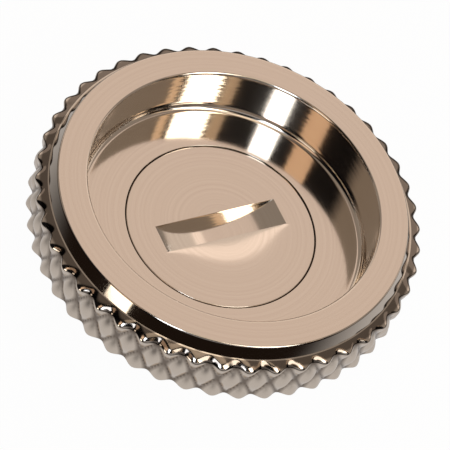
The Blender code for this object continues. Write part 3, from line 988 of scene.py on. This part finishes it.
@dataclass
class SeatGasket:
    """The flat moulded gasket that seals the rim against the deck plate."""

    outer: float = 27.6
    bore: float = 20.0
    top: float = 11.32
    bottom: float = 13.2
    edge: float = 0.35

    def build(self, rubber: Material) -> Object:
        """Makes the gasket, tucked up to the rim's underside, with a low bead near each edge."""
        middle = (self.outer + self.bore) / 2
        bead = 0.1
        profile = rounded(
            [
                Corner(middle, self.top),
                Corner(self.outer, self.top, self.edge),
                Corner(self.outer, self.bottom - bead, self.edge),
                Corner(self.outer - 1.0, self.bottom, 0.4),
                Corner(self.outer - 2.0, self.bottom - bead, 0.4),
                Corner(self.bore + 2.0, self.bottom - bead, 0.4),
                Corner(self.bore + 1.0, self.bottom, 0.4),
                Corner(self.bore, self.bottom - bead, self.edge),
                Corner(self.bore, self.top, self.edge),
                Corner(middle - 0.01, self.top),
            ],
            arc_steps=3,
            support=0.05,
        )
        gasket = skin("seat_gasket_ring", turned_rings(profile, 192), closed=True)
        dress(gasket, rubber, Body.CAP, "seat_gasket")
        return gasket


@dataclass
class ChainSwivel:
    """The swivel on the boss that a retaining chain hooks to, with its washer and snap ring."""

    boss_bore: float = 8.2
    washer_radius: float = 10.6
    washer_top: float = 18.05
    washer_thickness: float = 0.6
    plate_radius: float = 12.0
    plate_top: float = 18.95
    plate_thickness: float = 1.2
    reach: float = 14.8
    eye_width: float = 6.0
    eye_drop: float = 4.35
    eye_hole: float = 1.0
    bend: float = 0.9
    bend_steps: int = 8
    tip_round: float = 1.6
    clip_top: float = 20.45
    clip_thickness: float = 0.8
    clip_bore: float = 7.25
    clip_radius: float = 9.1
    lug_radius: float = 1.25
    lug_hole: float = 0.55
    lug_angle: float = math.radians(19.0)
    lug_out: float = 0.35
    outer_share: float = 1.5
    inner_share: float = 0.9
    clip_swell: float = 0.5

    def build_washer(self, nylon: Material) -> Object:
        """Makes the nylon washer above the swivel plate."""
        size = (self.boss_bore, self.washer_radius, self.washer_top, self.washer_thickness)
        washer = make_washer("swivel_washer_ring", *size, steps=144, edge=0.1)
        dress(washer, nylon, Body.CAP, "swivel_washer")
        return washer

    def flat_reach(self) -> float:
        """Length from the axis to the tongue's tip before it is bent."""
        bent = math.pi / 2 * (self.bend + self.plate_thickness / 2)
        before = self.reach - self.plate_thickness - self.bend
        after = self.eye_drop - self.plate_thickness - self.bend
        return before + bent + after

    def build_plate(self, steel: Material) -> Object:
        """Makes the plate: a flat ring with a tongue that is pierced and folded down."""
        half = self.eye_width / 2
        tip = self.flat_reach()
        join = math.asin(half / self.plate_radius)
        outline = arc(self.plate_radius, join, TURN - join, 96)
        for corner, quarter in ((-1, -math.pi / 2), (1, 0.0)):
            centre = (tip - self.tip_round, corner * (half - self.tip_round))
            outline += arc(self.tip_round, quarter, quarter + math.pi / 2, 8, centre)
        bore = arc(self.boss_bore, 0.0, TURN, 96)[:-1]
        eye_centre = tip - self.eye_drop / 2 + self.plate_thickness / 2
        eye = arc(self.eye_hole, 0.0, TURN, 24, (eye_centre, 0.0))[:-1]
        plate = pressed("swivel_plate_folded", [outline, bore, eye], self.plate_top, self.plate_thickness)
        self.fold(plate.data)
        dress(plate, steel, Body.SWIVEL, "swivel_plate")
        return plate

    def fold(self, mesh: Mesh) -> None:
        """Folds the tongue down round the bend's radius."""
        start = (self.reach - self.plate_thickness - self.bend) * MM
        middle = (CAP_HEIGHT - self.plate_top - self.plate_thickness / 2) * MM
        radius = (self.bend + self.plate_thickness / 2) * MM
        bent = radius * math.pi / 2
        with edited(mesh) as bm:
            for step in range(self.bend_steps + 1):
                bmesh.ops.bisect_plane(
                    bm,
                    geom=bm.verts[:] + bm.edges[:] + bm.faces[:],
                    plane_co=(start + bent * step / self.bend_steps, 0.0, 0.0),
                    plane_no=(1.0, 0.0, 0.0),
                    dist=1e-7,
                )
            for vertex in bm.verts:
                past = vertex.co.x - start
                if past <= 0:
                    continue
                turned = min(past / bent, 1.0) * math.pi / 2
                straight = max(past - bent, 0.0)
                away = vertex.co.z - middle
                vertex.co.x = start + (radius + away) * math.sin(turned)
                vertex.co.z = middle - radius + (radius + away) * math.cos(turned) - straight
        shade(mesh)

    def build_clip(self, steel: Material) -> Object:
        """Makes the snap ring, with a lug and a plier hole on each side of its mouth."""
        mouth = -math.pi / 2
        outline: list[tuple[float, float]] = []
        outer_end = self.lug_angle * self.outer_share
        for angle in arc_steps(mouth + outer_end, mouth + TURN - outer_end, 90):
            around = abs(angle - mouth - math.pi) / math.pi
            outline.append(polar(self.clip_radius + self.clip_swell * (1 - around), angle))
        lug_circle = self.clip_radius + self.lug_out
        left = polar(lug_circle, mouth - self.lug_angle)
        right = polar(lug_circle, mouth + self.lug_angle)
        inner_end = self.lug_angle * self.inner_share
        outline += arc(self.lug_radius, math.pi, TURN, 12, left)
        outline += arc(self.clip_bore, mouth - inner_end, mouth - TURN + inner_end, 90)
        outline += arc(self.lug_radius, math.pi, TURN, 12, right)
        holes = [arc(self.lug_hole, 0.0, TURN, 16, spot)[:-1] for spot in (left, right)]
        clip = pressed("swivel_clip_snap_ring", [outline, *holes], self.clip_top, self.clip_thickness)
        dress(clip, steel, Body.CAP, "swivel_clip")
        return clip


# ---------------------------------------------------------------- studio


def towards(bearing: float, rise: float) -> Vector:
    """The direction of a bearing and a rise above the floor, both in degrees."""
    across, up = math.radians(bearing), math.radians(rise)
    return Vector((math.cos(up) * math.cos(across), math.cos(up) * math.sin(across), math.sin(up)))


@dataclass(frozen=True)
class Softbox:
    """A soft studio light, aimed at the cap.

    Bearing is the compass angle from +X towards +Y and rise the angle above the floor, in degrees.
    Spans are the angles that the light covers, seen from the cap.
    """

    name: str
    bearing: float
    rise: float
    span: float
    tall: float
    radiance: float
    colour: str = "#FFFFFF"
    distance: float = 1.1

    def build(self, target: Vector) -> None:
        """Makes the light."""
        width = 2 * self.distance * math.tan(math.radians(self.span / 2))
        height = 2 * self.distance * math.tan(math.radians(self.tall / 2))
        data = bpy.data.lights.new(self.name, "AREA")
        data.shape = "RECTANGLE"
        data.size = width
        data.size_y = height
        data.color = linear(self.colour)[:3]
        data.energy = self.radiance * math.pi * width * height
        light = bpy.data.objects.new(self.name, data)
        direction = towards(self.bearing, self.rise)
        light.location = target + direction * self.distance
        light.rotation_euler = direction.to_track_quat("Z", "Y").to_euler()
        light.visible_camera = False
        link(light)


@dataclass
class Studio:
    """A pale floor that shows a painted pool of light in reflections, soft lights and the camera."""

    camera_distance: float = 360.9
    camera_bearing: float = -134.505
    camera_rise: float = 51.80
    camera_roll: float = 24.33
    camera_shift: tuple[float, float] = (-4.243, -5.061)
    lens: float = 192.0
    sensor: float = 36.0
    floor_gap: float = 0.2
    painted_light_pool_centre: tuple[float, float, float] = (0.005, -0.012, 0.0)
    painted_pool_bright_reach: float = 0.03
    painted_pool_dark_reach: float = 0.16
    painted_light_pool_colour: str = "#C8C5C4"
    painted_dark_floor_colour: str = "#1C140F"
    paper_colour: str = "#F4F2EF"
    paper_share: float = 0.03
    floor_half: float = 6.0
    room_dark: str = "#100F11"
    room_lit: str = "#948A81"
    room_fade: float = 0.14
    boxes: tuple[Softbox, ...] = (
        Softbox("overhead_warm", 45.5, 54.0, 38.0, 34.0, 0.49, "#FFE9DD"),
        Softbox("zenith_cream", -90.0, 82.0, 22.0, 18.0, 1.1, "#FFEFD8"),
        Softbox("front_grey", -105.0, 20.0, 70.0, 30.0, 0.36, "#ECE8E8", 1.2),
        Softbox("front_wall", 45.5, 26.0, 120.0, 34.0, 0.5, "#F6E8DE", 1.3),
        Softbox("hot_white", -75.0, 50.0, 18.0, 34.0, 5.0, "#FFFBF2"),
        Softbox("hot_gold_left", -52.0, 50.0, 5.0, 32.0, 0.95, "#FFE0BE"),
        Softbox("hot_gold_right", -97.0, 50.0, 6.0, 32.0, 0.65, "#FFE4C4"),
        Softbox("strip_cool", -138.0, 51.0, 11.0, 34.0, 6.0, "#E4F0FF"),
        Softbox("side_gold", -171.0, 50.0, 12.0, 34.0, 1.0, "#FFDCBC"),
        Softbox("low_cream", -165.0, 6.0, 14.0, 24.0, 2.6, "#FFF4E4", 0.26),
    )

    def build_floor(self) -> Object:
        """Makes the floor: pale and near shadowless to the camera, seen through from below, and a glowing
        painted pool of light to all else.
        """
        mesh = bpy.data.meshes.new("studio_floor")
        with edited(mesh) as bm:
            bmesh.ops.create_grid(bm, x_segments=1, y_segments=1, size=self.floor_half)
        floor = link(bpy.data.objects.new("studio_floor", mesh))
        floor.location.z = -self.floor_gap * MM
        material, tree = new_material("pale_paper_sweep_with_painted_pool")
        path = add_node(tree, "LightPath", {}, {})
        glow = add_node(tree, "Emission", {"Color": linear("#FFFFFF"), "Strength": 1.0}, {})
        paper = add_node(tree, "BsdfDiffuse", {"Color": linear(self.paper_colour)}, {})
        place = add_node(tree, "NewGeometry", {}, {})
        # Painted light and shade: all but camera rays see the floor glow, bright round a point set off the
        # cap's centre and fading to painted dark further out, so one side of the cap reflects painted
        # shade.
        centre = {"operation": "DISTANCE", 1: self.painted_light_pool_centre}
        away = add_node(tree, "VectorMath", centre, {0: place.outputs["Position"]})
        span = {"From Min": self.painted_pool_bright_reach, "From Max": self.painted_pool_dark_reach}
        smooth = {"interpolation_type": "SMOOTHERSTEP"}
        fade = add_node(tree, "MapRange", smooth | span, {"Value": away.outputs["Value"]})
        colours = {"data_type": "RGBA", 6: linear(self.painted_light_pool_colour), 7: linear(self.painted_dark_floor_colour)}
        painted_pool_mix = add_node(tree, "Mix", colours, {0: fade})
        # This glow is painted light: the floor shines though it is no lamp.
        dim = add_node(tree, "Emission", {"Strength": 1.0}, {"Color": painted_pool_mix.outputs[2]})
        seen = add_node(tree, "MixShader", {0: self.paper_share}, {1: glow, 2: paper})
        mixed = add_node(tree, "MixShader", {}, {0: path.outputs["Is Camera Ray"], 1: dim, 2: seen})
        clear = add_node(tree, "BsdfTransparent", {}, {})
        one_sided = add_node(tree, "MixShader", {}, {0: place.outputs["Backfacing"], 1: mixed, 2: clear})
        close_material(tree, one_sided)
        mesh.materials.append(material)
        return floor

    def build_world(self) -> None:
        """Makes the surroundings: white behind the cap, and a dim brown-grey room in its reflections."""
        world = bpy.data.worlds.new("studio")
        world.use_nodes = True
        tree = world.node_tree
        tree.nodes.clear()
        path = add_node(tree, "LightPath", {}, {})
        place = add_node(tree, "TexCoord", {}, {})
        across = {"operation": "DOT_PRODUCT", 1: tuple(towards(self.boxes[0].bearing, 0.0))}
        facing = add_node(tree, "VectorMath", across, {0: place.outputs["Generated"]})
        fade = {"From Min": -self.room_fade, "From Max": 0.0}
        lit = add_node(tree, "MapRange", fade, {"Value": facing.outputs["Value"]})
        colours = {"data_type": "RGBA", 6: linear(self.room_dark), 7: linear(self.room_lit)}
        room = add_node(tree, "Mix", colours, {0: lit})
        dim = add_node(tree, "Background", {"Strength": 1.0}, {"Color": room.outputs[2]})
        white = add_node(tree, "Background", {"Color": linear("#FFFFFF"), "Strength": 1.0}, {})
        mixed = add_node(tree, "MixShader", {}, {0: path.outputs["Is Camera Ray"], 1: dim, 2: white})
        add_node(tree, "OutputWorld", {}, {"Surface": mixed})
        bpy.context.scene.world = world

    def build_camera(self) -> Object:
        """Makes the camera: a long lens that looks down on the cap, tilted about its own axis."""
        data = bpy.data.cameras.new("camera")
        data.lens = self.lens
        data.sensor_width = self.sensor
        data.clip_start = 0.01
        data.clip_end = 50.0
        camera = bpy.data.objects.new("camera", data)
        direction = towards(self.camera_bearing, self.camera_rise)
        aim = Vector((self.camera_shift[0], self.camera_shift[1], CAP_HEIGHT)) * MM
        camera.location = aim + direction * (self.camera_distance * MM)
        level = direction.to_track_quat("Z", "Y").to_matrix()
        roll = Matrix.Rotation(math.radians(self.camera_roll), 3, "Z")
        camera.rotation_euler = (level @ roll).to_euler()
        bpy.context.scene.camera = link(camera)
        return camera

    def build(self) -> None:
        """Makes the floor, the surroundings, the lights and the camera."""
        self.build_floor()
        self.build_world()
        self.build_camera()
        target = Vector((0.0, 0.0, CAP_HEIGHT * MM))
        for softbox in self.boxes:
            softbox.build(target)
        bpy.context.scene.view_settings.view_transform = "Standard"
        LOG.info("studio built with %d lights", len(self.boxes))


def main() -> None:
    """Builds every piece in order, then the studio."""
    logging.basicConfig(level=logging.INFO, format="%(name)s: %(message)s")
    plate = TurnedPlate().material()
    gasket_rubber = Rubber("nitrile_rubber_gasket").material()
    seal_rubber = Rubber("nitrile_rubber_seal", roughness=0.5, grain_mm=0.2).material()
    spring_steel = Steel("stainless_spring_steel", roughness=0.3).material()
    sheet_steel = Steel("stainless_sheet_pressed").material()
    nylon = Nylon().material()

    Studio().build()
    CapBody().build(plate)
    VentScrew().build(plate)
    vent = VentHardware()
    vent.build_seal(seal_rubber)
    vent.build_washer(spring_steel)
    vent.build_clip(spring_steel)
    SeatGasket().build(gasket_rubber)
    swivel = ChainSwivel()
    swivel.build_washer(nylon)
    swivel.build_plate(sheet_steel)
    swivel.build_clip(spring_steel)


if __name__ == "__main__":
    main()
